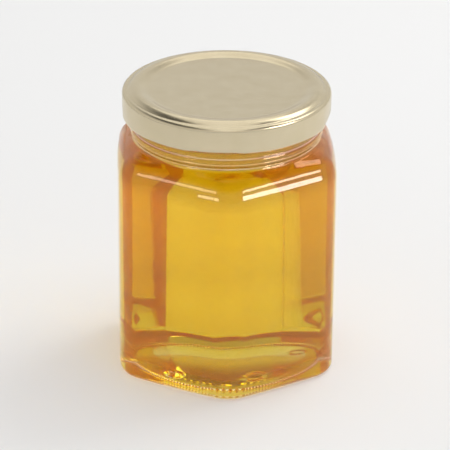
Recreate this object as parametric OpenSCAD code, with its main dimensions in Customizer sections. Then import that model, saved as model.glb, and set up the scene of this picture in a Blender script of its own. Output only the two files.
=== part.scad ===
// Hexagonal glass honey jar with a round twist-off lid, filled with clear honey.
// The axis of the jar is Z, the jar stands on Z = 0, and one corner points along -Y.
// Lengths are in millimetres and angles in degrees.

/* [Body] */
// Width of the body across opposite sides, where the sides meet the rounded corners
across_flats = 63.2; // [60:0.2:80]
// Radius of the six upright rounded corners, on the outside
corner_r = 10; // [5:0.5:12]
// How far the middle of each side bows out
side_bow = 0.4; // [0:0.1:1.5]
// Thickness of the glass in the sides
side_wall = 2.5; // [1.8:0.1:3.5]

/* [Base] */
// Radius of the rounded bottom edge
heel_r = 2.2; // [1:0.1:4]
// Diameter of the round hollow under the base
push_up_d = 48; // [40:0.5:52]
// Height of that hollow in the middle
push_up = 1.8; // [0.5:0.1:3]
// Thickness of the glass in the middle of the base
base_wall = 4.2; // [2.5:0.1:6]
// Height of the inner floor where it meets the inner bottom edge
floor_z = 5.2; // [3:0.2:7]
// Radius of the rounded bottom edge, on the inside
inner_heel_r = 5; // [3:0.5:8]

/* [Shoulder] */
// Height at which the shoulder's slope meets the neck
shoulder_z = 70.3; // [50:0.1:110]
// Fall from there to where the sides turn upright
shoulder_h = 7.7; // [6:0.1:12]
// Radius of the roll between the shoulder and the sides, on the outside
shoulder_r = 8; // [4:0.1:9]
// Thickness of the glass in the shoulder
shoulder_wall = 2.4; // [1.8:0.1:3.5]

/* [Neck and mouth] */
// Outer diameter of the neck
neck_d = 55; // [44:0.5:55]
// Thickness of the glass in the neck
neck_wall = 2.5; // [2:0.1:3.5]
// Height of the neck, from the shoulder's slope to the rim
neck_h = 14.95; // [12:0.05:24]
// Radius of the fillet between the neck and the shoulder, on the outside
neck_fillet_r = 1.2; // [0.5:0.1:1.5]
// Radius of the same bend on the inside
inner_neck_r = 2.4; // [1:0.1:3]
// Height of the middle of the neck's bead above the shoulder's slope
bead_z = 2.5; // [2.4:0.1:3.5]
// How far the bead stands out from the neck
bead_out = 0.6; // [0.2:0.1:1]
// Height of the bead
bead_h = 2.6; // [1.6:0.1:2.8]
// Radius of the rim's edges
rim_r = 1; // [0.5:0.1:1.2]

/* [Threads and lugs] */
// Number of short thread ridges round the neck, and of lugs in the lid
starts = 4; // [3:1:6]
// How far a thread ridge stands out from the neck
thread_out = 1.1; // [0.8:0.1:1.3]
// Height of a thread ridge
thread_h = 1.7; // [1:0.1:2]
// Climb of a thread ridge from one end to the other
thread_climb = 1.2; // [0.5:0.1:2]
// Share of the way round that the thread ridges cover
thread_cover = 0.66; // [0.4:0.02:0.8]
// Gap between the top of a lug and the ridge above it
lug_gap = 0.25; // [0.1:0.05:0.5]
// How far a lug reaches under the ridge
lug_grip = 0.6; // [0.3:0.1:0.8]
// Height of a lug
lug_h = 1.2; // [0.8:0.1:1.5]
// Width of a lug, as an angle round the axis
lug_angle = 28; // [15:1:35]
// Turn of the first lug from the jar's front corner
lug_turn = -9; // [-30:1:30]
// Height of the lugs' lower side above the lid's lower edge
lug_lift = 0.4; // [0.2:0.1:1]

/* [Honey] */
// Depth of the honey's surface below the rim
headspace = 6.2; // [4.5:0.1:12]
// Gap left between the honey and the glass
honey_gap = 0.02; // [0.01:0.01:0.1]

/* [Lid] */
// Thickness of the lid's sheet metal
sheet = 0.3; // [0.2:0.05:0.5]
// Height of the lid, from its lower edge to its crest
lid_h = 9.25; // [8:0.05:11]
// Gap between the rim of the glass and the lid's crest above it
seat_gap = 0.2; // [0.1:0.05:0.3]
// Gap between the thread ridges and the inside of the lid's skirt
skirt_gap = 1.6; // [1.2:0.1:2.5]
// Gap between the thread ridges and the curl at the lid's lower edge
curl_gap = 0.25; // [0.15:0.05:0.4]
// Outer radius of the curl
curl_r = 1.2; // [0.8:0.1:1.4]
// Depth of the lid's flat middle panel below its crest
panel_depth = 0.87; // [0.3:0.01:0.9]
// Distance from the inside of the mouth to the edge of the panel
panel_gap = 2.5; // [2:0.1:5]
// Depth of the step outside the crest
step_depth = 1; // [0.5:0.05:1.5]
// Width of the flat of the step
step_w = 0.5; // [0.2:0.05:1]
// Radius of the roll between the step and the skirt
roll_r = 1.25; // [0.6:0.05:1.4]

/* [Smoothness] */
// Number of flat stretches round each rounded corner
corner_steps = 6; // [3:1:8]
// Number of flat stretches along each side
side_steps = 4; // [3:1:8]
// Number of flat stretches in each rounded edge of the glass
bend_steps = 4; // [3:1:8]
// Number of flat stretches in each rounded edge of the lid
roll_steps = 8; // [4:1:16]

/* [Hidden] */

glass_colour = [0.80, 0.88, 0.84, 0.35];
honey_colour = [0.88, 0.62, 0.13];
lid_colour = [0.76, 0.70, 0.58];

SIDES = 6;
SECTOR = 360 / SIDES;
// Direction of the corner at the front
FRONT = -90;
// Shares of the way from one thread ridge's start to the next: how far a ridge starts
// ahead of the middle of its lug, and how far its ends taper
LEAD = 0.25;
TAPER = 0.1;
// Where the hollow under the base and the floor above it have rings of points, as shares
// of the way out
HOLLOW_RINGS = [0.3, 0.6, 0.85];
FLOOR_RINGS = [0.35, 0.7];
// Most of the largest roll that fits between the neck and the side, as a share
ROLL_ROOM = 0.95;
// Smallest roll inside the shoulder
LEAST_ROLL = 1;
// Smoothness of the lid
FINE = 96;

// Distances from the axis
flat_x = across_flats / 2;
neck_x = neck_d / 2;
mouth_x = neck_x - neck_wall;
corner_x = (flat_x - corner_r) / cos(SECTOR / 2) + corner_r;
thread_x = neck_x + thread_out;
inner_corner_r = corner_r - side_wall;
inner_roll_r = max(shoulder_r - side_wall, LEAST_ROLL);

// Heights
rim_z = shoulder_z + neck_h;
honey_z = rim_z - headspace;
lid_top = rim_z + seat_gap + sheet;
lid_foot = lid_top - lid_h;
wall_top_z = shoulder_z - shoulder_h;
corner_fall = 90 - roll_end(corner_x, shoulder_r, neck_x, shoulder_z);
inner_shoulder_z = shoulder_z + neck_wall * tan(corner_fall) - shoulder_wall / cos(corner_fall);
lug_z = lid_foot + lug_lift;
thread_z = lug_z + lug_h + lug_gap + thread_h / 2 + thread_climb / 2;

// Angle from the nearest corner's direction, from 0 at the corner to 30 in mid-side
function from_corner(turn) =
    let (part = (turn - FRONT) % SECTOR,
         ahead = part < 0 ? part + SECTOR : part)
    min(ahead, SECTOR - ahead);

// Distance from the axis to the wall in one direction, for a hexagon whose sides are x
// from the axis, with corners rounded by r and sides that bow out by bow
function wall_reach(turn, x, r, bow) =
    let (half = SECTOR / 2,
         away = from_corner(turn),
         centre = (x - r) / cos(half),
         arc_end = atan2(r * sin(half), centre + r * cos(half)),
         along = x * tan(half - away) / ((x - r) * tan(half)))
    away <= arc_end
        ? centre * cos(away) + sqrt(r * r - pow(centre * sin(away), 2))
        : (x + bow * (1 - along * along)) / cos(half - away);

// Directions of the points of every ring: steps of equal bend round each corner, and
// steps of equal angle along each side
function ring_turns() =
    let (half = SECTOR / 2,
         centre = (flat_x - corner_r) / cos(half),
         arc_end = atan2(corner_r * sin(half), centre + corner_r * cos(half)))
    [for (side = [0:SIDES - 1])
        each concat(
            [for (i = [0:corner_steps])
                let (bend = half * (2 * i / corner_steps - 1))
                FRONT + side * SECTOR + atan2(corner_r * sin(bend), centre + corner_r * cos(bend))],
            [for (i = [1:side_steps - 1])
                FRONT + side * SECTOR + arc_end + (SECTOR - 2 * arc_end) * i / side_steps])];

// Points of an arc in a profile, as [distance from the axis, height]
function arc(centre, r, from, to, steps) =
    [for (i = [0:steps])
        let (at = from + (to - from) * i / steps)
        centre + r * [cos(at), sin(at)]];

// A low dome from the axis to reach, flat at both ends, as a share of its height
function dome(share) = pow(1 - share * share, 2);

// Radius of the roll over a wall that stands at reach. It is limited to what lets the
// shoulder meet the neck at [root_x, root_z].
function roll_radius(reach, r, root_x, root_z) =
    let (out = reach - root_x,
         up = root_z - wall_top_z)
    min(r, ROLL_ROOM * (out * out + up * up) / (2 * out));

// How far round the roll goes, in degrees, before the shoulder runs straight to the neck
function roll_end(reach, r, root_x, root_z) =
    let (fit_r = roll_radius(reach, r, root_x, root_z),
         away = [root_x - reach + fit_r, root_z - wall_top_z])
    atan2(away[1], away[0]) - acos(fit_r / norm(away));

// The roll, from the upright wall at reach to the shoulder's slope
function shoulder_roll(reach, r, root_x, root_z) =
    let (fit_r = roll_radius(reach, r, root_x, root_z))
    arc([reach - fit_r, wall_top_z], fit_r, 0, roll_end(reach, r, root_x, root_z), bend_steps + 1);

// The bend with radius r from the shoulder's slope into the neck, where end is how far
// round the roll under the slope goes
function neck_bend(root_x, root_z, r, end) =
    arc([root_x + r, root_z + r * tan(end / 2)], r, 180 + end, 180, bend_steps);

function backwards(points) = [for (i = [len(points) - 1:-1:0]) points[i]];

// How far one direction is along its thread ridge, from 0 at the ridge's start to 1 at the
// start of the next. Each ridge starts LEAD ahead of its lug.
function thread_part(turn) =
    let (pitch = 360 / starts,
         part = ((turn - FRONT - lug_turn) / pitch + LEAD) % 1)
    part < 0 ? part + 1 : part;

// Share of its full height that a thread ridge has in one direction
function thread_share(turn) =
    let (part = thread_part(turn))
    max(0, min(1, part / TAPER, (thread_cover - part) / TAPER));

// Height of the middle of a thread ridge in one direction. It comes down again between
// the end of one ridge and the start of the next.
function thread_mid(turn) =
    let (part = thread_part(turn),
         up = part / thread_cover,
         down = (1 - part) / (1 - thread_cover))
    thread_z + thread_climb * (min(up, down) - 0.5);

// Profile of the glass outside, from the hollow under the base to the top of the rim
function outside(turn) =
    let (reach = wall_reach(turn, flat_x, corner_r, side_bow),
         hollow_x = push_up_d / 2,
         crest = neck_x + bead_out,
         bead_mid = shoulder_z + bead_z,
         ridge = neck_x + thread_out * thread_share(turn),
         ridge_z = thread_mid(turn))
    concat(
        [for (share = HOLLOW_RINGS) [share * hollow_x, push_up * dome(share)]],
        [[hollow_x, 0]],
        arc([reach - heel_r, heel_r], heel_r, -90, 0, bend_steps),
        shoulder_roll(reach, shoulder_r, neck_x, shoulder_z),
        neck_bend(neck_x, shoulder_z, neck_fillet_r, roll_end(reach, shoulder_r, neck_x, shoulder_z)),
        [[neck_x, bead_mid - bead_h / 2],
         [crest, bead_mid - bead_h / 6],
         [crest, bead_mid + bead_h / 6],
         [neck_x, bead_mid + bead_h / 2]],
        [[neck_x, ridge_z - thread_h / 2],
         [ridge, ridge_z - thread_h / 4],
         [ridge, ridge_z + thread_h / 4],
         [neck_x, ridge_z + thread_h / 2]],
        arc([neck_x - rim_r, rim_z - rim_r], rim_r, 0, 90, bend_steps - 1));

// Profile of the room inside the glass, from the middle of the floor up the walls to
// the neck, drawn gap inside the glass
function inside(turn, gap) =
    let (reach = wall_reach(turn, flat_x - side_wall - gap, inner_corner_r - gap, side_bow),
         floor_reach = reach - inner_heel_r,
         rise = push_up + base_wall - floor_z,
         roll_r = inner_roll_r - gap,
         root = [mouth_x - gap, inner_shoulder_z - gap])
    concat(
        [for (share = FLOOR_RINGS) [share * floor_reach, floor_z + gap + rise * dome(share)]],
        arc([floor_reach, floor_z + gap + inner_heel_r], inner_heel_r, -90, 0, bend_steps),
        shoulder_roll(reach, roll_r, root[0], root[1]),
        neck_bend(root[0], root[1], inner_neck_r, roll_end(reach, roll_r, root[0], root[1])));

// A closed skin through rings of points, given as one profile for each direction. It
// starts at foot_z and ends at head_z on the axis. upward says which way its four-sided
// faces are split, so that a skin drawn upwards fits one drawn downwards.
module skin(turns, profiles, foot_z, head_z, upward) {
    count = len(turns);
    rings = len(profiles[0]);
    points = concat(
        [[0, 0, foot_z]],
        [for (k = [0:rings - 1], i = [0:count - 1])
            let (p = profiles[i][k])
            [p[0] * cos(turns[i]), p[0] * sin(turns[i]), p[1]]],
        [[0, 0, head_z]]);
    function at(k, i) = 1 + k * count + i % count;
    faces = concat(
        [for (i = [0:count - 1]) [0, at(0, i), at(0, i + 1)]],
        [for (k = [0:rings - 2], i = [0:count - 1])
            each upward
                ? [[at(k, i), at(k + 1, i), at(k, i + 1)],
                   [at(k + 1, i), at(k + 1, i + 1), at(k, i + 1)]]
                : [[at(k, i), at(k + 1, i), at(k + 1, i + 1)],
                   [at(k, i), at(k + 1, i + 1), at(k, i + 1)]]],
        [for (i = [0:count - 1]) [at(rings - 1, i), rings * count + 1, at(rings - 1, i + 1)]]);
    polyhedron(points, faces, convexity = 6);
}

// The glass: up the outside, over the rim, and down the inside to the floor
module jar() {
    turns = ring_turns();
    rim_inside = arc([mouth_x + rim_r, rim_z - rim_r], rim_r, 90, 180, bend_steps - 1);
    profiles = [for (turn = turns) concat(outside(turn), rim_inside, backwards(inside(turn, 0)))];
    color(glass_colour)
        skin(turns, profiles, push_up, push_up + base_wall, false);
}

// The honey: all the room inside the glass, up to its level in the neck
module honey() {
    turns = ring_turns();
    level = [[mouth_x - honey_gap, honey_z]];
    profiles = [for (turn = turns) concat(inside(turn, honey_gap), level)];
    color(honey_colour)
        skin(turns, profiles, push_up + base_wall + honey_gap, honey_z, true);
}

// Profile of the lid's upper side, from the panel over the crest and down the skirt
function lid_profile() =
    let (panel_x = mouth_x - panel_gap,
         crest_x = (neck_x + mouth_x) / 2,
         skirt_x = thread_x + skirt_gap + sheet,
         flat_x = skirt_x - roll_r,
         step_x = flat_x - step_w,
         brow_r = (pow(step_x - crest_x, 2) + pow(step_depth, 2)) / (2 * step_depth),
         brow_end = acos((step_x - crest_x) / brow_r))
    concat(
        [[0, lid_top - panel_depth]],
        [for (i = [0:roll_steps])
            let (share = i / roll_steps)
            [panel_x + (crest_x - panel_x) * share,
             lid_top - panel_depth * (1 + cos(180 * share)) / 2]],
        [for (i = [1:roll_steps])
            let (at = 90 + (brow_end - 90) * i / roll_steps)
            [crest_x + brow_r * cos(at), lid_top - brow_r + brow_r * sin(at)]],
        arc([flat_x, lid_top - step_depth - roll_r], roll_r, 90, 0, roll_steps),
        [[skirt_x, lid_foot + curl_r]]);

// The same profile moved inwards by t, at right angles to the sheet
function inner_side(points, t) =
    [for (i = [0:len(points) - 1])
        let (before = points[max(i - 1, 0)],
             after = points[min(i + 1, len(points) - 1)],
             run = after - before)
        points[i] + t * [run[1], -run[0]] / norm(run)];

// Section of the rolled lower edge, from the skirt round the foot to the inside
module curl_section() {
    skirt_x = thread_x + skirt_gap + sheet;
    inner_x = thread_x + curl_gap;
    inner_r = min(skirt_x - curl_r - inner_x, curl_r) / 2;
    polygon(concat(
        arc([skirt_x - curl_r, lid_foot + curl_r], curl_r, 0, -90, roll_steps),
        arc([inner_x + inner_r, lid_foot + inner_r], inner_r, -90, -180, roll_steps / 2),
        [[inner_x, lid_foot + curl_r],
         [skirt_x - sheet, lid_foot + 2 * curl_r],
         [skirt_x, lid_foot + 2 * curl_r]]));
}

// A lug: the stretch of the curl that is pressed inwards under a thread ridge
module lug() {
    tip_x = thread_x - lug_grip;
    root_x = thread_x + curl_gap + curl_r / 2;
    rotate([0, 0, -lug_angle / 2])
        rotate_extrude(angle = lug_angle, $fn = FINE)
            polygon([[tip_x, lug_z + lug_h / 5],
                     [root_x, lug_z],
                     [root_x, lug_z + lug_h],
                     [tip_x, lug_z + lug_h]]);
}

module lid() {
    top_side = lid_profile();
    color(lid_colour) {
        rotate_extrude($fn = FINE)
            polygon(concat(top_side, backwards(inner_side(top_side, sheet))));
        rotate_extrude($fn = FINE)
            curl_section();
        for (i = [0:starts - 1])
            rotate([0, 0, FRONT + lug_turn + i * 360 / starts])
                lug();
    }
}

jar();
honey();
lid();
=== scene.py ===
"""A hexagonal honey jar: pressed flint glass, clear golden honey and a gold lacquered lid.

Lengths are written in millimetres and turned to metres as each surface becomes a mesh.
Directions round the axis are in degrees, with 0 along +X and a corner of the jar at -90.
"""

import math

import bpy
import numpy as np
from mathutils import Matrix, Vector


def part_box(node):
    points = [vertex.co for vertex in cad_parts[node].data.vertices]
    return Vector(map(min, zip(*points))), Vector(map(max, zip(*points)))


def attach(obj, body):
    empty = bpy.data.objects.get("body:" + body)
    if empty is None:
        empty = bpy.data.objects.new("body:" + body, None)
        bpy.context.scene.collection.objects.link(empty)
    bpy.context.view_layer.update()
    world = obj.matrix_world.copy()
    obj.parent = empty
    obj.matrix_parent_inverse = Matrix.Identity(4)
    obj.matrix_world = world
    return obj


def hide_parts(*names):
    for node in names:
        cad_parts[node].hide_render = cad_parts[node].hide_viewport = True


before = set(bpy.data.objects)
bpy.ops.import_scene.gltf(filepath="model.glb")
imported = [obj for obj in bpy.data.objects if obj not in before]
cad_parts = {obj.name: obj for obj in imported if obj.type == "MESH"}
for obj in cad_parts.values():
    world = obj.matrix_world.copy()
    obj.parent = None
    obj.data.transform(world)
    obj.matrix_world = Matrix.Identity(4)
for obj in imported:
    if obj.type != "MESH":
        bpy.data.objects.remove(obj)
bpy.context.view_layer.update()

MM = 0.001


def foot_and_top(name):
    """Heights of the foot and the top of one construction piece, in millimetres."""
    low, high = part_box(name)
    return low[2] / MM, high[2] / MM


# The body: its sides, its corners and its walls
SIDES = 6
SECTOR = 360 / SIDES
FRONT = -90
SIDE_BOW = 0.4
CORNER_R = 10.0
SIDE_WALL = 2.5
SIDE_X = 31.6
CORNER_X = (SIDE_X - CORNER_R) / math.cos(math.pi / SIDES) + CORNER_R

# The shoulder and the neck
SHOULDER_Z = 70.3
WALL_TOP_Z = 62.6
SHOULDER_R = 8.0
ROLL_ROOM = 0.95
SHOULDER_WALL = 2.4
NECK_X = 27.5
NECK_BEND_R = 1.2
INNER_BEND_R = 2.4
MOUTH_X = 25.0
BEAD_MID = 72.8
BEAD_H = 2.6
BEAD_OUT = 0.6
RIM_Z = foot_and_top("jar")[1]
RIM_R = 1.0

# The base
HEEL_R = 2.2
HOLLOW_X = 24.0
HOLLOW_H = 1.8
BASE_WALL = 4.2
FLOOR_Z = 5.2
INNER_HEEL_R = 5.0
FLAT_LIFT = 0.04
STIPPLE_X = 22.5
STIPPLE_W = 2.4
STIPPLE_H = 0.7
STIPPLES = 144
# Painted highlights on the stipples: their tips turn partly matt white, up to this share, below
# this height
STIPPLE_PAINTED_GLINT = 0.8
STIPPLE_GLINT_TO = 1.5 * STIPPLE_H

# Raised mould marks in the hollow: middle, radius of the ring, and a row of plain dots
RING_MARKS = [(-12.0, -11.6, 2.5), (4.5, -12.7, 3.0), (13.5, 9.0, 2.5)]
MARK_H = 0.5
MARK_W = 0.4
MARKS_FROM = 9.5
MARKS_TO = 20.6
MARK_RINGS = 0.5
HOLLOW_RINGS = [3, 6, 8.5]
DOT_ROW_X = 18.6
DOT_ROW_TURN = -75
DOT_ROW_SPREAD = 50
DOTS_ROUND = 56
DOT_SHARE = 0.3

# Fine lines left by the mould round the neck, and the seam where its halves met
NECK_LINES = [(71.0, 0.10), (72.5, 0.09), (74.1, 0.14)]
LINE_W = 0.14
# Painted highlights on the mould lines: their crests turn partly matt white over this width, up to
# this share
NECK_LINE_GLINT_W = 0.25
NECK_LINE_PAINTED_GLINT = 0.35
NECK_RINGS_LOW = 70.75
NECK_RINGS_HIGH = 74.6
NECK_RINGS = 26
SEAM_TURN = -96
SEAM_H = 0.07
SEAM_SPREAD = 0.5
TAB_LOW = 71.3
TAB_HIGH = 72.3
TAB_R = 0.75
TAB_H = 0.12
TAB_W = 0.2

# The thread ridges
THREAD_STARTS = 4
THREAD_TURN = -9
THREAD_OUT = 1.1
THREAD_H = 1.7
THREAD_CLIMB = 1.2
THREAD_COVER = 0.66
THREAD_TAPER = 0.1
THREAD_LEAD = 0.25
THREAD_MID = 79.8

# The honey
HONEY_Z = foot_and_top("honey")[1]
HONEY_IN_GLASS = 0.3

# The lid
LID_FOOT, LID_TOP = foot_and_top("lid")
LID_X = 30.5
SHEET = 0.3
CURL_R = 1.2
CREST_X = 26.2
PANEL_X = 22.5
PANEL_DEPTH = 0.87
STEP_X = 28.75
STEP_DEPTH = 1.0
ROLL_R = 1.25
SKIRT_END = 2.6
CURL_END_X = 29.1
CURL_END_R = 0.25
CURL_BACK = [(28.85, 1.2), (30.0, 2.4)]
LUG_HALF = 15
LUG_FADE = 5
LUG_FADE_FROM = 0.8
LUG_PRESS = 0.55
LUG_X = 28
LUG_REACH = 3.0
LUG_TAPER = 2.0

# Directions round each piece
JAR_DIRECTIONS = 720
OTHER_DIRECTIONS = 360


# ---------------------------------------------------------------- shapes

def arc(centre_x, centre_z, r, start, end, steps):
    """Points on an arc in a profile, from one angle to another in degrees.

    x = centre_x + r cos(a), z = centre_z + r sin(a); one row for each angle.
    """
    angle = np.radians(np.linspace(start, end, steps + 1))[:, None]
    return centre_x + r * np.cos(angle), centre_z + r * np.sin(angle)


def level(x, z, turns):
    """One ring at a distance x and height z, each a number or one for each direction."""
    return np.broadcast_to(x, turns.shape)[None], np.broadcast_to(z, turns.shape)[None]


def join(turns, *parts):
    """Profiles stacked one after another, as two grids of rings by directions."""
    xs = [np.broadcast_to(x, (x.shape[0], turns.size)) for x, _ in parts]
    zs = [np.broadcast_to(z, (z.shape[0], turns.size)) for _, z in parts]
    return np.concatenate(xs), np.concatenate(zs)


def wall_reach(turns, x, r, bow):
    """Distance from the axis to the wall of a rounded hexagon, in each direction.

    Near a corner it's the ray's far crossing of the corner's circle. Along a side it's
    the side's distance x, and a parabola of height bow on top, over the cosine from
    the side's own direction.
    """
    half = math.radians(SECTOR / 2)
    away = np.radians(np.abs((turns - FRONT + SECTOR / 2) % SECTOR - SECTOR / 2))
    centre = (x - r) / math.cos(half)
    arc_end = math.atan2(r * math.sin(half), centre + r * math.cos(half))
    along = x * np.tan(half - away) / ((x - r) * math.tan(half))
    corner = centre * np.cos(away) + np.sqrt(np.maximum(r * r - (centre * np.sin(away)) ** 2, 0))
    side = (x + bow * (1 - along ** 2)) / np.cos(half - away)
    return np.where(away <= arc_end, corner, side)


def roll_over(reach, r, root_x, root_z):
    """Radius of the roll over a wall at reach, and how far round it goes in radians.

    The roll's circle touches the upright wall at WALL_TOP_Z. Its radius is limited to
    what lets a straight slope from [root_x, root_z] touch it, and it ends where that
    slope does: the direction to the root, less the angle whose cosine is r over the
    distance to the root.
    """
    out = reach - root_x
    up = root_z - WALL_TOP_Z
    fit_r = np.minimum(r, ROLL_ROOM * (out ** 2 + up ** 2) / (2 * out))
    away = root_x - reach + fit_r
    return fit_r, np.arctan2(up, away) - np.arccos(fit_r / np.hypot(away, up))


def shoulder(reach, r, root_x, root_z, root_r, roll_steps, bend_steps):
    """The shoulder from the upright wall at reach to the neck: a roll, a straight slope and
    the hollow bend up into the neck, all tangent to each other."""
    fit_r, end = roll_over(reach, r, root_x, root_z)
    along = np.linspace(0, 1, roll_steps + 1)[:, None] * end
    roll = reach - fit_r + fit_r * np.cos(along), WALL_TOP_Z + fit_r * np.sin(along)
    back = math.pi + np.linspace(1, 0, bend_steps + 1)[:, None] * end
    bend_z = root_z + root_r * np.tan(end / 2)
    bend = root_x + root_r + root_r * np.cos(back), bend_z + root_r * np.sin(back)
    return roll, bend


def closed_mesh(name, turns, x, z, foot_z, head_z):
    """A closed skin through rings of points, with a pole on the axis at each end.

    Point (k, i) is at x[k, i] along direction turns[i] and at height z[k, i]. Ring k's
    faces to ring k + 1 point away from the axis where the rings climb.
    """
    rings, count = x.shape
    angle = np.radians(turns)
    grid = np.stack([x * np.cos(angle), x * np.sin(angle), z], axis=-1).reshape(-1, 3)
    points = np.concatenate([[[0, 0, foot_z]], grid, [[0, 0, head_z]]]) * MM
    here = np.arange(count)
    after = (here + 1) % count
    base = 1 + count * np.arange(rings - 1)[:, None]
    quads = np.stack([base + here, base + after, base + count + after, base + count + here], -1)
    last = 1 + count * (rings - 1)
    foot = np.stack([np.zeros(count, int), 1 + after, 1 + here], -1)
    head = np.stack([last + here, last + after, np.full(count, len(points) - 1)], -1)
    faces = foot.tolist() + quads.reshape(-1, 4).tolist() + head.tolist()
    mesh = bpy.data.meshes.new(name)
    mesh.from_pydata(points.tolist(), [], faces)
    mesh.shade_smooth()
    piece = bpy.data.objects.new(name, mesh)
    bpy.context.scene.collection.objects.link(piece)
    return piece


def finish_by_band(piece, count, bands):
    """Gives each band of rings its material. bands lists (material, its number of rings)."""
    slots = np.concatenate([np.full(rings * count, i) for i, (_, rings) in enumerate(bands)])
    for material, _ in bands:
        piece.data.materials.append(material)
    piece.data.polygons.foreach_set("material_index", slots.astype(np.int32))


# ---------------------------------------------------------------- materials

FLINT_IOR = 1.52
HONEY_IOR = 1.5
WOBBLE_SIZE = 9
WOBBLE_H = 0.015

# What honey takes from light: no red, a little green and most blue. The density is for
# each metre, and the colour is what one unit of it lets through.
HONEY_ABSORBS = np.array([0.0, 4.8, 80.0])
HONEY_DENSITY = float(HONEY_ABSORBS.max())
HONEY_COLOUR = (*(1 - HONEY_ABSORBS / HONEY_DENSITY).tolist(), 1.0)

# The veil up the jar: a height, its colour there, and the share of light that it stops; the last
# stop is painted shade in the neck
BLOOM_AND_NECK_SHADE = [
    (0.0, "#c49418", 0.18),
    (10.0, "#c89818", 0.20),
    (20.0, "#c4961a", 0.30),
    (32.0, "#ffc82e", 0.24),
    (59.0, "#ffc62c", 0.24),
    (64.0, "#b06a06", 0.40),
    (69.5, "#b06a06", 0.40),
    # Painted shade: a thick, dark brown veil in the neck stands for the shade under the lid
    (71.5, "#b4640c", 0.60),
]
BLOOM_UNEVEN = 0.12
BLOOM_CLOUD = 14
BLOOM_THROUGH = 0.6

# The lacquer's two shades, and the sizes of its mottle and of the metal's grain
GOLD_DARK = "#d3c5a4"
GOLD_PALE = "#ddd0b3"
GOLD_SMOOTH = 0.20
GOLD_ROUGH = 0.30
MOTTLE = 5
GRAIN = 0.5
GRAIN_H = 0.01
GRAIN_STRENGTH = 0.15


def linear(hex_colour):
    """A linear colour from an sRGB hex value such as "#c0b49a"."""
    value = np.array([int(hex_colour[i:i + 2], 16) for i in (1, 3, 5)]) / 255
    straight = np.where(value <= 0.04045, value / 12.92, ((value + 0.055) / 1.055) ** 2.4)
    return (*straight.tolist(), 1.0)


def new_material(name):
    """An empty node material and its output."""
    material = bpy.data.materials.new(name)
    material.use_nodes = True
    material.node_tree.nodes.clear()
    return material, add(material, "OutputMaterial")


def add(owner, kind, settings=None, **inputs):
    """Adds one node to a material or a world. settings are its properties.

    inputs are its sockets by name, with _ for a space, or iN for socket N: a plain value is
    set, and a node or a socket is linked.
    """
    tree = owner.node_tree
    node = tree.nodes.new("ShaderNode" + kind)
    for key, value in (settings or {}).items():
        setattr(node, key, value)
    for key, value in inputs.items():
        numbered = key[0] == "i" and key[1:].isdigit()
        socket = node.inputs[int(key[1:]) if numbered else key.replace("_", " ")]
        if isinstance(value, bpy.types.Node):
            value = next(out for out in value.outputs if out.enabled)
        if isinstance(value, bpy.types.NodeSocket):
            tree.links.new(value, socket)
        else:
            socket.default_value = value
    return node


def wobble(material, size_mm, height_mm):
    """The faint unevenness that a mould leaves in glass, as a Bump node for the normal."""
    place = add(material, "TexCoord").outputs["Object"]
    swell = add(material, "TexNoise", Vector=place, Scale=1 / (size_mm * MM), Detail=1.0)
    return add(material, "Bump", Height=swell, Strength=1.0, Distance=height_mm * MM)


def stipple_painted_glints(material):
    """How much each point under the base is painted pale, as a painted highlight: the tips of the
    stipples, and nothing else.
    """
    place = add(material, "TexCoord").outputs["Object"]
    part = add(material, "SeparateXYZ", Vector=place)
    flat = add(material, "CombineXYZ", X=part.outputs["X"], Y=part.outputs["Y"])
    reach = add(material, "VectorMath", {"operation": "LENGTH"}, i0=flat).outputs["Value"]
    off = add(material, "Math", {"operation": "SUBTRACT"}, i0=reach, i1=STIPPLE_X * MM)
    away = add(material, "Math", {"operation": "ABSOLUTE"}, i0=off)
    ring = add(
        material, "MapRange", {"interpolation_type": "SMOOTHSTEP"},
        Value=away, From_Max=STIPPLE_W * MM / 2, To_Min=1, To_Max=0)
    turn = add(
        material, "Math", {"operation": "ARCTAN2"}, i0=part.outputs["Y"], i1=part.outputs["X"])
    phase = add(material, "Math", {"operation": "MULTIPLY"}, i0=turn, i1=float(STIPPLES))
    wave = add(material, "Math", {"operation": "COSINE"}, i0=phase)
    tip = add(material, "MapRange", Value=wave, To_Min=0, To_Max=STIPPLE_PAINTED_GLINT)
    low = add(
        material, "Math", {"operation": "LESS_THAN"},
        i0=part.outputs["Z"], i1=STIPPLE_GLINT_TO * MM)
    on_ring = add(material, "Math", {"operation": "MULTIPLY"}, i0=ring, i1=tip)
    return add(material, "Math", {"operation": "MULTIPLY"}, i0=on_ring, i1=low)


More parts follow.
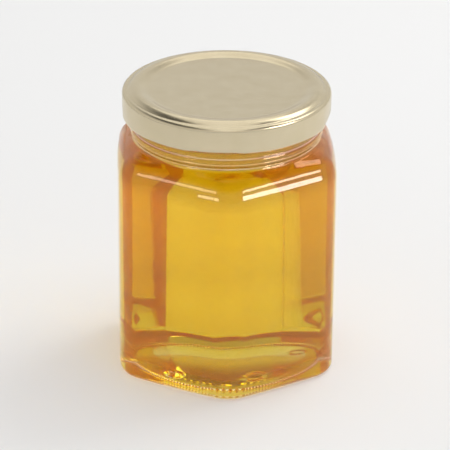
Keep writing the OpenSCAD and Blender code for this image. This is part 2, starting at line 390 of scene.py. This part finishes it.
def flint_glass():
    """Soda-lime flint glass, pressed and fire polished: clear, with a hard thin gloss.

    The crests of the neck's mould lines and the tips of the stipples turn partly matt white, as
    painted highlights, so they look pale.
    """
    material, output = new_material("flint_glass_fire_polished")
    place = add(material, "TexCoord").outputs["Object"]
    height = add(material, "SeparateXYZ", Vector=place).outputs["Z"]
    painted_glint = 0.0
    # Painted highlights: pale matt white bands on the mould-line crests and the stipple tips
    for line_z, _ in NECK_LINES:
        off = add(material, "Math", {"operation": "SUBTRACT"}, i0=height, i1=line_z * MM)
        away = add(material, "Math", {"operation": "ABSOLUTE"}, i0=off)
        line_glint = add(
            material, "MapRange", {"interpolation_type": "SMOOTHSTEP"},
            Value=away, From_Max=NECK_LINE_GLINT_W * MM, To_Min=NECK_LINE_PAINTED_GLINT, To_Max=0)
        painted_glint = add(material, "Math", {"operation": "MAXIMUM"}, i0=painted_glint, i1=line_glint)
    painted_glint = add(material, "Math", {"operation": "MAXIMUM"}, i0=painted_glint, i1=stipple_painted_glints(material))
    clear = add(material, "Math", {"operation": "SUBTRACT"}, i0=1.0, i1=painted_glint)
    glass = add(
        material, "BsdfPrincipled",
        Base_Color=(1, 1, 1, 1), Roughness=0.0, IOR=FLINT_IOR, Transmission_Weight=clear,
        Normal=wobble(material, WOBBLE_SIZE, WOBBLE_H))
    material.node_tree.links.new(glass.outputs[0], output.inputs["Surface"])
    return material


def wetted_glass():
    """Glass where honey wets it: the two bend light alike, so the face between them vanishes."""
    material, output = new_material("flint_glass_wetted_by_honey")
    clear = add(material, "BsdfTransparent", Color=(1, 1, 1, 1))
    material.node_tree.links.new(clear.outputs[0], output.inputs["Surface"])
    return material


def honey_bloom_and_neck_shade(material):
    """The fine crystals near the glass: a thin, slightly uneven veil that scatters gold light.

    It is thinnest low down and brown over the shoulder. In the neck it is thick and dark brown, as
    painted shade under the lid.
    Returns a shader of clear honey with that veil mixed in.
    """
    place = add(material, "TexCoord").outputs["Object"]
    height = add(material, "SeparateXYZ", Vector=place).outputs["Z"]
    way_up = add(material, "Math", {"operation": "MULTIPLY"}, i0=height, i1=1 / (HONEY_Z * MM))
    by_height = add(material, "ValToRGB", Fac=way_up)
    ramp = by_height.color_ramp
    while len(ramp.elements) < len(BLOOM_AND_NECK_SHADE):
        ramp.elements.new(0.5)
    for stop, (stop_z, colour, share) in zip(ramp.elements, BLOOM_AND_NECK_SHADE):
        stop.position = stop_z / HONEY_Z
        stop.color = (*linear(colour)[:3], share)
    cloud = add(material, "TexNoise", Vector=place, Scale=1 / (BLOOM_CLOUD * MM), Detail=2.0)
    uneven = add(
        material, "MapRange", Value=cloud, To_Min=1 - BLOOM_UNEVEN, To_Max=1 + BLOOM_UNEVEN)
    share = add(
        material, "Math", {"operation": "MULTIPLY"}, i0=by_height.outputs["Alpha"], i1=uneven)
    colour = by_height.outputs["Color"]
    clear = add(material, "BsdfTransparent", Color=(1, 1, 1, 1))
    back = add(material, "BsdfDiffuse", Color=colour)
    through = add(material, "BsdfTranslucent", Color=colour)
    scatter = add(material, "MixShader", i0=BLOOM_THROUGH, i1=back, i2=through)
    return add(material, "MixShader", i0=share, i1=clear, i2=scatter)


def honey_body():
    """Runny blossom honey against glass: no face of its own, and a clear golden body."""
    material, output = new_material("runny_honey_body")
    body = add(material, "VolumeAbsorption", Color=HONEY_COLOUR, Density=HONEY_DENSITY)
    material.node_tree.links.new(honey_bloom_and_neck_shade(material).outputs[0], output.inputs["Surface"])
    material.node_tree.links.new(body.outputs[0], output.inputs["Volume"])
    return material


def honey_level():
    """The honey's free surface: a still, glossy liquid face under the air in the neck."""
    material, output = new_material("runny_honey_level")
    liquid = add(
        material, "BsdfPrincipled",
        Base_Color=(1, 1, 1, 1), Roughness=0.0, IOR=HONEY_IOR, Transmission_Weight=1.0)
    body = add(material, "VolumeAbsorption", Color=HONEY_COLOUR, Density=HONEY_DENSITY)
    material.node_tree.links.new(liquid.outputs[0], output.inputs["Surface"])
    material.node_tree.links.new(body.outputs[0], output.inputs["Volume"])
    return material


def gold_lacquer():
    """Tinplate under pale gold lacquer: a satin metal, faintly mottled, grained by rolling."""
    material, output = new_material("tinplate_gold_lacquered")
    place = add(material, "TexCoord").outputs["Object"]
    mottle = add(material, "TexNoise", Vector=place, Scale=1 / (MOTTLE * MM), Detail=3.0)
    grain = add(material, "TexNoise", Vector=place, Scale=1 / (GRAIN * MM), Detail=2.0)
    shade = add(
        material, "Mix", {"data_type": "RGBA"},
        i0=mottle, i6=linear(GOLD_DARK), i7=linear(GOLD_PALE))
    colour = next(out for out in shade.outputs if out.type == "RGBA")
    rough = add(material, "MapRange", Value=grain, To_Min=GOLD_SMOOTH, To_Max=GOLD_ROUGH)
    relief = add(
        material, "Bump", Height=grain, Strength=GRAIN_STRENGTH, Distance=GRAIN_H * MM)
    metal = add(
        material, "BsdfPrincipled",
        Base_Color=colour, Metallic=1.0, Roughness=rough, Normal=relief)
    material.node_tree.links.new(metal.outputs[0], output.inputs["Surface"])
    return material


# ---------------------------------------------------------------- the glass

def mould_marks(x, turns):
    """Relief of the plain marks under the base, at distances x from the axis.

    Each ring mark is a bell curve of the distance from its circle. The dots are bells
    across the row, times a raised cosine along it that fades at the row's ends.
    """
    angle = np.radians(turns)
    flat_x = x * np.cos(angle)
    flat_y = x * np.sin(angle)
    relief = np.zeros(flat_x.shape)
    for mid_x, mid_y, r in RING_MARKS:
        away = np.hypot(flat_x - mid_x, flat_y - mid_y)
        relief += MARK_H * np.exp(-((away - r) / MARK_W) ** 2)
    along = np.clip(np.abs((turns - DOT_ROW_TURN + 180) % 360 - 180) / DOT_ROW_SPREAD, 0, 1)
    dots = (0.5 + 0.5 * np.cos(angle * DOTS_ROUND)) * np.cos(math.pi / 2 * along) ** 0.5
    return relief + DOT_SHARE * MARK_H * dots * np.exp(-((x - DOT_ROW_X) / (2 * MARK_W)) ** 2)


def hollow_height(x):
    """Height of the hollow under the base at a distance x from the axis."""
    return HOLLOW_H * (1 - (x / HOLLOW_X) ** 2) ** 2


def base_rings(turns):
    """The underside, from near the axis to the edge of the flat that the jar stands on: a
    round hollow with raised marks and a ring of stipples near its edge.

    The hollow is HOLLOW_H (1 - s^2)^2 high at share s of its radius, less the marks. The
    glass between two stipples is STIPPLE_H higher. The flat rises by FLAT_LIFT to the hollow,
    so that there is air between it and the floor.
    """
    x = np.concatenate([HOLLOW_RINGS, np.arange(MARKS_FROM, MARKS_TO, MARK_RINGS)])[:, None]
    hollow = x, np.maximum(hollow_height(x) - mould_marks(x, turns), 0)
    across = np.linspace(-0.5, 0.5, 11)[:, None]
    ridge = np.cos(math.pi * across) ** 2
    stud = 0.5 + 0.5 * np.cos(np.radians(turns * STIPPLES))
    ring_x = STIPPLE_X + STIPPLE_W * across
    stipples = ring_x, hollow_height(ring_x) + STIPPLE_H * ridge * (1 - stud)
    return join(turns, hollow, stipples, level(HOLLOW_X, FLAT_LIFT, turns))


def neck_rings(turns):
    """The neck below the lid: a broad bead, fine mould lines, the seams and one tab.

    The bead is a flat-topped swell, (1 - |2s|^5)^0.5 at share s across it. Each mould
    line is a bell curve of height, the seam one of direction, and the tab one of the
    distance from a short upright line.
    """
    z = np.linspace(NECK_RINGS_LOW, NECK_RINGS_HIGH, NECK_RINGS)[:, None]
    share = np.clip((z - BEAD_MID) / BEAD_H, -0.5, 0.5)
    swell = BEAD_OUT * np.sqrt(1 - np.abs(2 * share) ** 5)
    lines = sum(h * np.exp(-((z - line_z) / LINE_W) ** 2) for line_z, h in NECK_LINES)
    ahead = (turns - SEAM_TURN + 90) % 180 - 90
    seam = SEAM_H * np.exp(-(ahead / SEAM_SPREAD) ** 2)
    round_neck = NECK_X * np.radians((turns - SEAM_TURN + 180) % 360 - 180)
    off_line = np.hypot(round_neck, z - np.clip(z, TAB_LOW, TAB_HIGH))
    tab = TAB_H * np.exp(-((off_line - TAB_R) / TAB_W) ** 2)
    return NECK_X + swell + lines + seam + tab, z


def thread_rings(turns):
    """The short thread ridges under the lid.

    Each climbs evenly over its share of the way round, stands out fully but for a taper at
    each end, and comes down again before the next one starts.
    """
    part = ((turns - FRONT - THREAD_TURN) * THREAD_STARTS / 360 + THREAD_LEAD) % 1
    full = np.clip(np.minimum(part, THREAD_COVER - part) / THREAD_TAPER, 0, 1)
    climb = np.minimum(part / THREAD_COVER, (1 - part) / (1 - THREAD_COVER)) - 0.5
    offset = np.array([-0.5, -0.25, 0, 0.25, 0.5])[:, None] * THREAD_H
    height = np.array([0, 0.9, 1, 0.9, 0])[:, None] * THREAD_OUT
    return NECK_X + height * full, THREAD_MID + THREAD_CLIMB * climb + offset


def outside(turns):
    """The glass outside, from the heel over the side, the shoulder, the neck and the rim."""
    reach = wall_reach(turns, SIDE_X, CORNER_R, SIDE_BOW)
    heel = arc(reach - HEEL_R, HEEL_R, HEEL_R, -90, 0, 8)
    roll, bend = shoulder(reach, SHOULDER_R, NECK_X, SHOULDER_Z, NECK_BEND_R, 13, 5)
    top = arc(NECK_X - RIM_R, RIM_Z - RIM_R, RIM_R, 0, 90, 5)
    return join(turns, heel, roll, bend, neck_rings(turns), thread_rings(turns), top)


def inside(turns, out, steps):
    """The room inside the glass, from near the middle of the floor up to the neck, moved
    out into the glass by out."""
    reach = wall_reach(turns, SIDE_X - SIDE_WALL + out, CORNER_R - SIDE_WALL + out, SIDE_BOW)
    share = np.linspace(0.2, 0.9, 5)[:, None]
    rise = HOLLOW_H + BASE_WALL - FLOOR_Z
    floor = share * (reach - INNER_HEEL_R), FLOOR_Z - out + rise * (1 - share ** 2) ** 2
    heel = arc(reach - INNER_HEEL_R, FLOOR_Z - out + INNER_HEEL_R, INNER_HEEL_R, -90, 0, steps)
    fall = math.pi / 2 - float(roll_over(CORNER_X, SHOULDER_R, NECK_X, SHOULDER_Z)[1])
    root_x = MOUTH_X + out
    root_z = SHOULDER_Z + (NECK_X - MOUTH_X) * math.tan(fall) - SHOULDER_WALL / math.cos(fall) + out
    roll_r = SHOULDER_R - SIDE_WALL + out
    roll, bend = shoulder(reach, roll_r, root_x, root_z, INNER_BEND_R, steps, steps)
    return join(turns, floor, heel, roll, bend, level(root_x, HONEY_Z, turns))


def make_jar():
    """The glass as one closed skin: the base, the outside, the rim and the inside."""
    turns = np.arange(JAR_DIRECTIONS) * 360 / JAR_DIRECTIONS + FRONT
    base_x, base_z = base_rings(turns)
    out_x, out_z = outside(turns)
    rim_x, rim_z = join(turns, arc(MOUTH_X + RIM_R, RIM_Z - RIM_R, RIM_R, 90, 180, 5))
    room_x, room_z = inside(turns, 0, 5)
    x = np.concatenate([base_x, out_x, rim_x, room_x[::-1]])
    z = np.concatenate([base_z, out_z, rim_z, room_z[::-1]])
    piece = closed_mesh("jar_glass", turns, x, z, HOLLOW_H, HOLLOW_H + BASE_WALL)
    dry = len(base_x) + len(out_x) + len(rim_x) + 1
    finish_by_band(piece, turns.size, [(flint_glass(), dry), (wetted_glass(), len(room_x))])
    return piece


def make_honey():
    """The honey as one closed body that reaches just into the glass all round."""
    turns = np.arange(OTHER_DIRECTIONS) * 360 / OTHER_DIRECTIONS + FRONT
    x, z = inside(turns, HONEY_IN_GLASS, 9)
    top_x, top_z = level(MOUTH_X, HONEY_Z, turns)
    piece = closed_mesh(
        "honey_fill", turns, np.concatenate([x, top_x]), np.concatenate([z, top_z]),
        HOLLOW_H + BASE_WALL - HONEY_IN_GLASS, HONEY_Z)
    finish_by_band(piece, turns.size, [(honey_body(), len(x) + 1), (honey_level(), 1)])
    return piece


# ---------------------------------------------------------------- the lid

def lid_profile():
    """The lid's upper side as one line, from near the axis to the top of the curl."""
    share = np.linspace(0, 1, 16)
    slope_x = PANEL_X + (CREST_X - PANEL_X) * share
    slope_z = LID_TOP - PANEL_DEPTH * (1 + np.cos(math.pi * share)) / 2
    brow_r = ((STEP_X - CREST_X) ** 2 + STEP_DEPTH ** 2) / (2 * STEP_DEPTH)
    brow = np.linspace(math.pi / 2, math.acos((STEP_X - CREST_X) / brow_r), 12)[1:]
    brow_x = CREST_X + brow_r * np.cos(brow)
    brow_z = LID_TOP - brow_r + brow_r * np.sin(brow)
    roll = np.linspace(math.pi / 2, 0, 12)
    roll_x = LID_X - ROLL_R + ROLL_R * np.cos(roll)
    roll_z = LID_TOP - STEP_DEPTH - ROLL_R + ROLL_R * np.sin(roll)
    x = np.concatenate([np.linspace(1, PANEL_X - 0.5, 8), slope_x, brow_x, roll_x, [LID_X]])
    panel_z = np.full(8, LID_TOP - PANEL_DEPTH)
    z = np.concatenate([panel_z, slope_z, brow_z, roll_z, [LID_FOOT + SKIRT_END]])
    return x, z


def lug_share(turns):
    """How far each direction is pressed in: 1 across a lug, falling smoothly at its ends."""
    spacing = 360 / THREAD_STARTS
    off = np.abs((turns - FRONT - THREAD_TURN + spacing / 2) % spacing - spacing / 2)
    fade = np.clip((off - LUG_HALF) / LUG_FADE + LUG_FADE_FROM, 0, 1)
    return 0.5 + 0.5 * np.cos(math.pi * fade)


def foot_share(x, z):
    """How far a point of the lid's profile moves with the lugs: the curl moves fully, and
    the skirt above it moves less and less, up to LUG_REACH above the lid's foot."""
    low = np.clip((LID_FOOT + LUG_REACH - z) / LUG_TAPER, 0, 1)
    return low * low * (3 - 2 * low) * (x > LUG_X)


def make_lid():
    """The lid as one closed skin: its upper side, the curl and the underside."""
    turns = np.arange(OTHER_DIRECTIONS) * 360 / OTHER_DIRECTIONS + FRONT
    x, z = lid_profile()
    run_x = np.gradient(x)
    run_z = np.gradient(z)
    length = np.hypot(run_x, run_z)
    under_x = x + SHEET * run_z / length
    under_z = z - SHEET * run_x / length
    curl = np.radians(np.linspace(0, -90, 8))
    curl_x = LID_X - CURL_R + CURL_R * np.cos(curl)
    curl_z = LID_FOOT + CURL_R + CURL_R * np.sin(curl)
    back = np.radians(np.linspace(-90, -180, 6))
    back_x = CURL_END_X + CURL_END_R * np.cos(back)
    back_z = LID_FOOT + CURL_END_R + CURL_END_R * np.sin(back)
    inner_x, inner_z = np.array(CURL_BACK).T
    line_x = np.concatenate([x, curl_x, back_x, inner_x, under_x[::-1]])[::-1, None]
    line_z = np.concatenate([z, curl_z, back_z, LID_FOOT + inner_z, under_z[::-1]])[::-1, None]
    grid_x = line_x - LUG_PRESS * lug_share(turns) * foot_share(line_x, line_z)
    grid_z = np.broadcast_to(line_z, grid_x.shape)
    piece = closed_mesh("lid_gold", turns, grid_x, grid_z, under_z[0], z[0])
    piece.data.materials.append(gold_lacquer())
    return piece


jar = make_jar()
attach(jar, "root")
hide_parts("jar")

honey = make_honey()
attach(honey, "root")
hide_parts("honey")

lid = make_lid()
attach(lid, "root")
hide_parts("lid")


# ---------------------------------------------------------------- the studio

PAPER = 0.80
FLOOR_HALF = 6.0

# The lights: each one's direction round the axis and rise above the floor, its distance and
# size in metres, its radiance and colour, and what it is seen in
LIGHTS = {
    "key": (35, 52, 1.5, (0.6, 0.6), 3.2, (1, 0.99, 0.97), "floor mirror through"),
    "overhead": (20, 74, 1.6, (1.8, 1.8), 2.42, (1, 1, 1), "floor through"),
    "right_high": (-27, 32, 1.2, (0.6, 0.16), 12.0, (1, 0.96, 0.95), "mirror"),
    "right_low": (-35, 7, 1.2, (0.55, 0.36), 15.0, (1, 0.95, 0.93), "mirror"),
    "left_high": (-148, 29, 1.2, (0.4, 0.2), 5.0, (1, 0.93, 0.84), "mirror"),
    "left_low": (-133, 3, 1.2, (0.3, 0.25), 7.0, (1, 0.93, 0.86), "mirror"),
    "lid_card": (-90, 89, 1.1, (0.75, 2.8), 1.0, (1, 0.99, 0.97), "mirror"),
}
AIM_Z = 0.05

# The room's walls: how bright they are, and between which rises they fade to the roof's
# brightness, as the sine of the rise
WALLS = 0.75
ROOF = 0.05
WALLS_END = 0.45
ROOF_START = 0.85
ROOM_COLOUR = (1.0, 0.995, 0.985, 1)

# The camera: lengths in metres and angles in degrees
LENS = 239.8
SENSOR_W = 36.0
CAMERA_AWAY = 0.890
CAMERA_RISE = 25.2
CAMERA_TURN = FRONT - 2.2
CAMERA_ROLL = -0.45
CAMERA_LEFT = 0.0002
TARGET_Z = 0.0407
CLIP = (0.01, 50.0)


def white_card():
    """Matt paper sweep: an even, neutral white."""
    material, output = new_material("paper_sweep_matt")
    paper = add(material, "BsdfDiffuse", Color=(PAPER, PAPER, PAPER, 1))
    material.node_tree.links.new(paper.outputs[0], output.inputs["Surface"])
    return material


def make_floor():
    """A wide level floor under the jar."""
    half = FLOOR_HALF
    corners = [(-half, -half, 0), (half, -half, 0), (half, half, 0), (-half, half, 0)]
    mesh = bpy.data.meshes.new("floor")
    mesh.from_pydata(corners, [], [(0, 1, 2, 3)])
    mesh.materials.append(white_card())
    floor = bpy.data.objects.new("floor", mesh)
    bpy.context.scene.collection.objects.link(floor)
    return floor


floor = make_floor()


def outward(turn, rise):
    """The direction at a turn round the axis and a rise above the floor, in radians."""
    level_part = math.cos(rise)
    return Vector((math.cos(turn) * level_part, math.sin(turn) * level_part, math.sin(rise)))


def softbox(name, turn, rise, distance, size, radiance, colour, seen_in):
    """A rectangular softbox that faces the jar, with its brightness as radiance.

    It stands at a direction turn round the axis and rise above the floor, in degrees.
    seen_in says which it gives: floor light, mirror images, or light through the jar.
    """
    back = outward(math.radians(turn), math.radians(rise))
    data = bpy.data.lights.new(name, "AREA")
    data.shape = "RECTANGLE"
    data.size, data.size_y = size
    data.energy = radiance * math.pi * size[0] * size[1]
    data.color = colour
    light = bpy.data.objects.new(name, data)
    light.location = back * distance + Vector((0, 0, AIM_Z))
    light.rotation_euler = back.to_track_quat("Z", "Y").to_euler()
    light.visible_diffuse = "floor" in seen_in
    light.visible_volume_scatter = "floor" in seen_in
    light.visible_glossy = "mirror" in seen_in
    light.visible_transmission = "through" in seen_in
    bpy.context.scene.collection.objects.link(light)
    return light


lights = {name: softbox(name, *settings) for name, settings in LIGHTS.items()}


def only(name, *pieces):
    """A collection of a few pieces, for a light that reaches only them."""
    group = bpy.data.collections.new(name)
    for piece in pieces:
        group.objects.link(piece)
    return group


# The overhead light stands for light from all round, so only the floor may block it. The
# card over the lid is flagged off from the glass, and three of the others from the lid.
lights["overhead"].light_linking.blocker_collection = only("floor_alone", floor)
lights["lid_card"].light_linking.receiver_collection = only("lid_alone", lid)
glass_alone = only("glass_alone", jar)
for name in ("right_low", "left_high", "left_low"):
    lights[name].light_linking.receiver_collection = glass_alone


def studio_world():
    """The room round the table: pale walls that fade into a dark roof."""
    world = bpy.data.worlds.new("studio")
    world.use_nodes = True
    place = add(world, "TexCoord").outputs["Generated"]
    rise = add(world, "SeparateXYZ", Vector=place).outputs["Z"]
    fade = add(
        world, "MapRange", {"interpolation_type": "SMOOTHSTEP"},
        Value=rise, From_Min=WALLS_END, From_Max=ROOF_START, To_Min=WALLS, To_Max=ROOF)
    background = world.node_tree.nodes["Background"]
    background.inputs["Color"].default_value = ROOM_COLOUR
    world.node_tree.links.new(fade.outputs[0], background.inputs["Strength"])
    bpy.context.scene.world = world


studio_world()
bpy.context.scene.view_settings.view_transform = "Standard"

# Light crosses the glass and the honey many times before it gets out
cycles = bpy.context.scene.cycles
cycles.max_bounces = 32
cycles.transmission_bounces = 32
cycles.glossy_bounces = 16
cycles.transparent_max_bounces = 64


def make_camera():
    """A long lens about 25 degrees above the horizon, a little to the left of the front corner."""
    turn, rise, roll = map(math.radians, (CAMERA_TURN, CAMERA_RISE, CAMERA_ROLL))
    data = bpy.data.cameras.new("camera")
    data.lens = LENS
    data.sensor_width = SENSOR_W
    camera = bpy.data.objects.new("camera", data)
    back = outward(turn, rise)
    across = Vector((-math.sin(turn), math.cos(turn), 0))
    up = back.cross(across)
    right = across * math.cos(roll) - up * math.sin(roll)
    up = across * math.sin(roll) + up * math.cos(roll)
    matrix = Matrix((right, up, back)).transposed().to_4x4()
    target = Vector((0, 0, TARGET_Z))
    matrix.translation = target + back * CAMERA_AWAY - across * CAMERA_LEFT
    camera.matrix_world = matrix
    data.clip_start, data.clip_end = CLIP
    bpy.context.scene.collection.objects.link(camera)
    bpy.context.scene.camera = camera


make_camera()
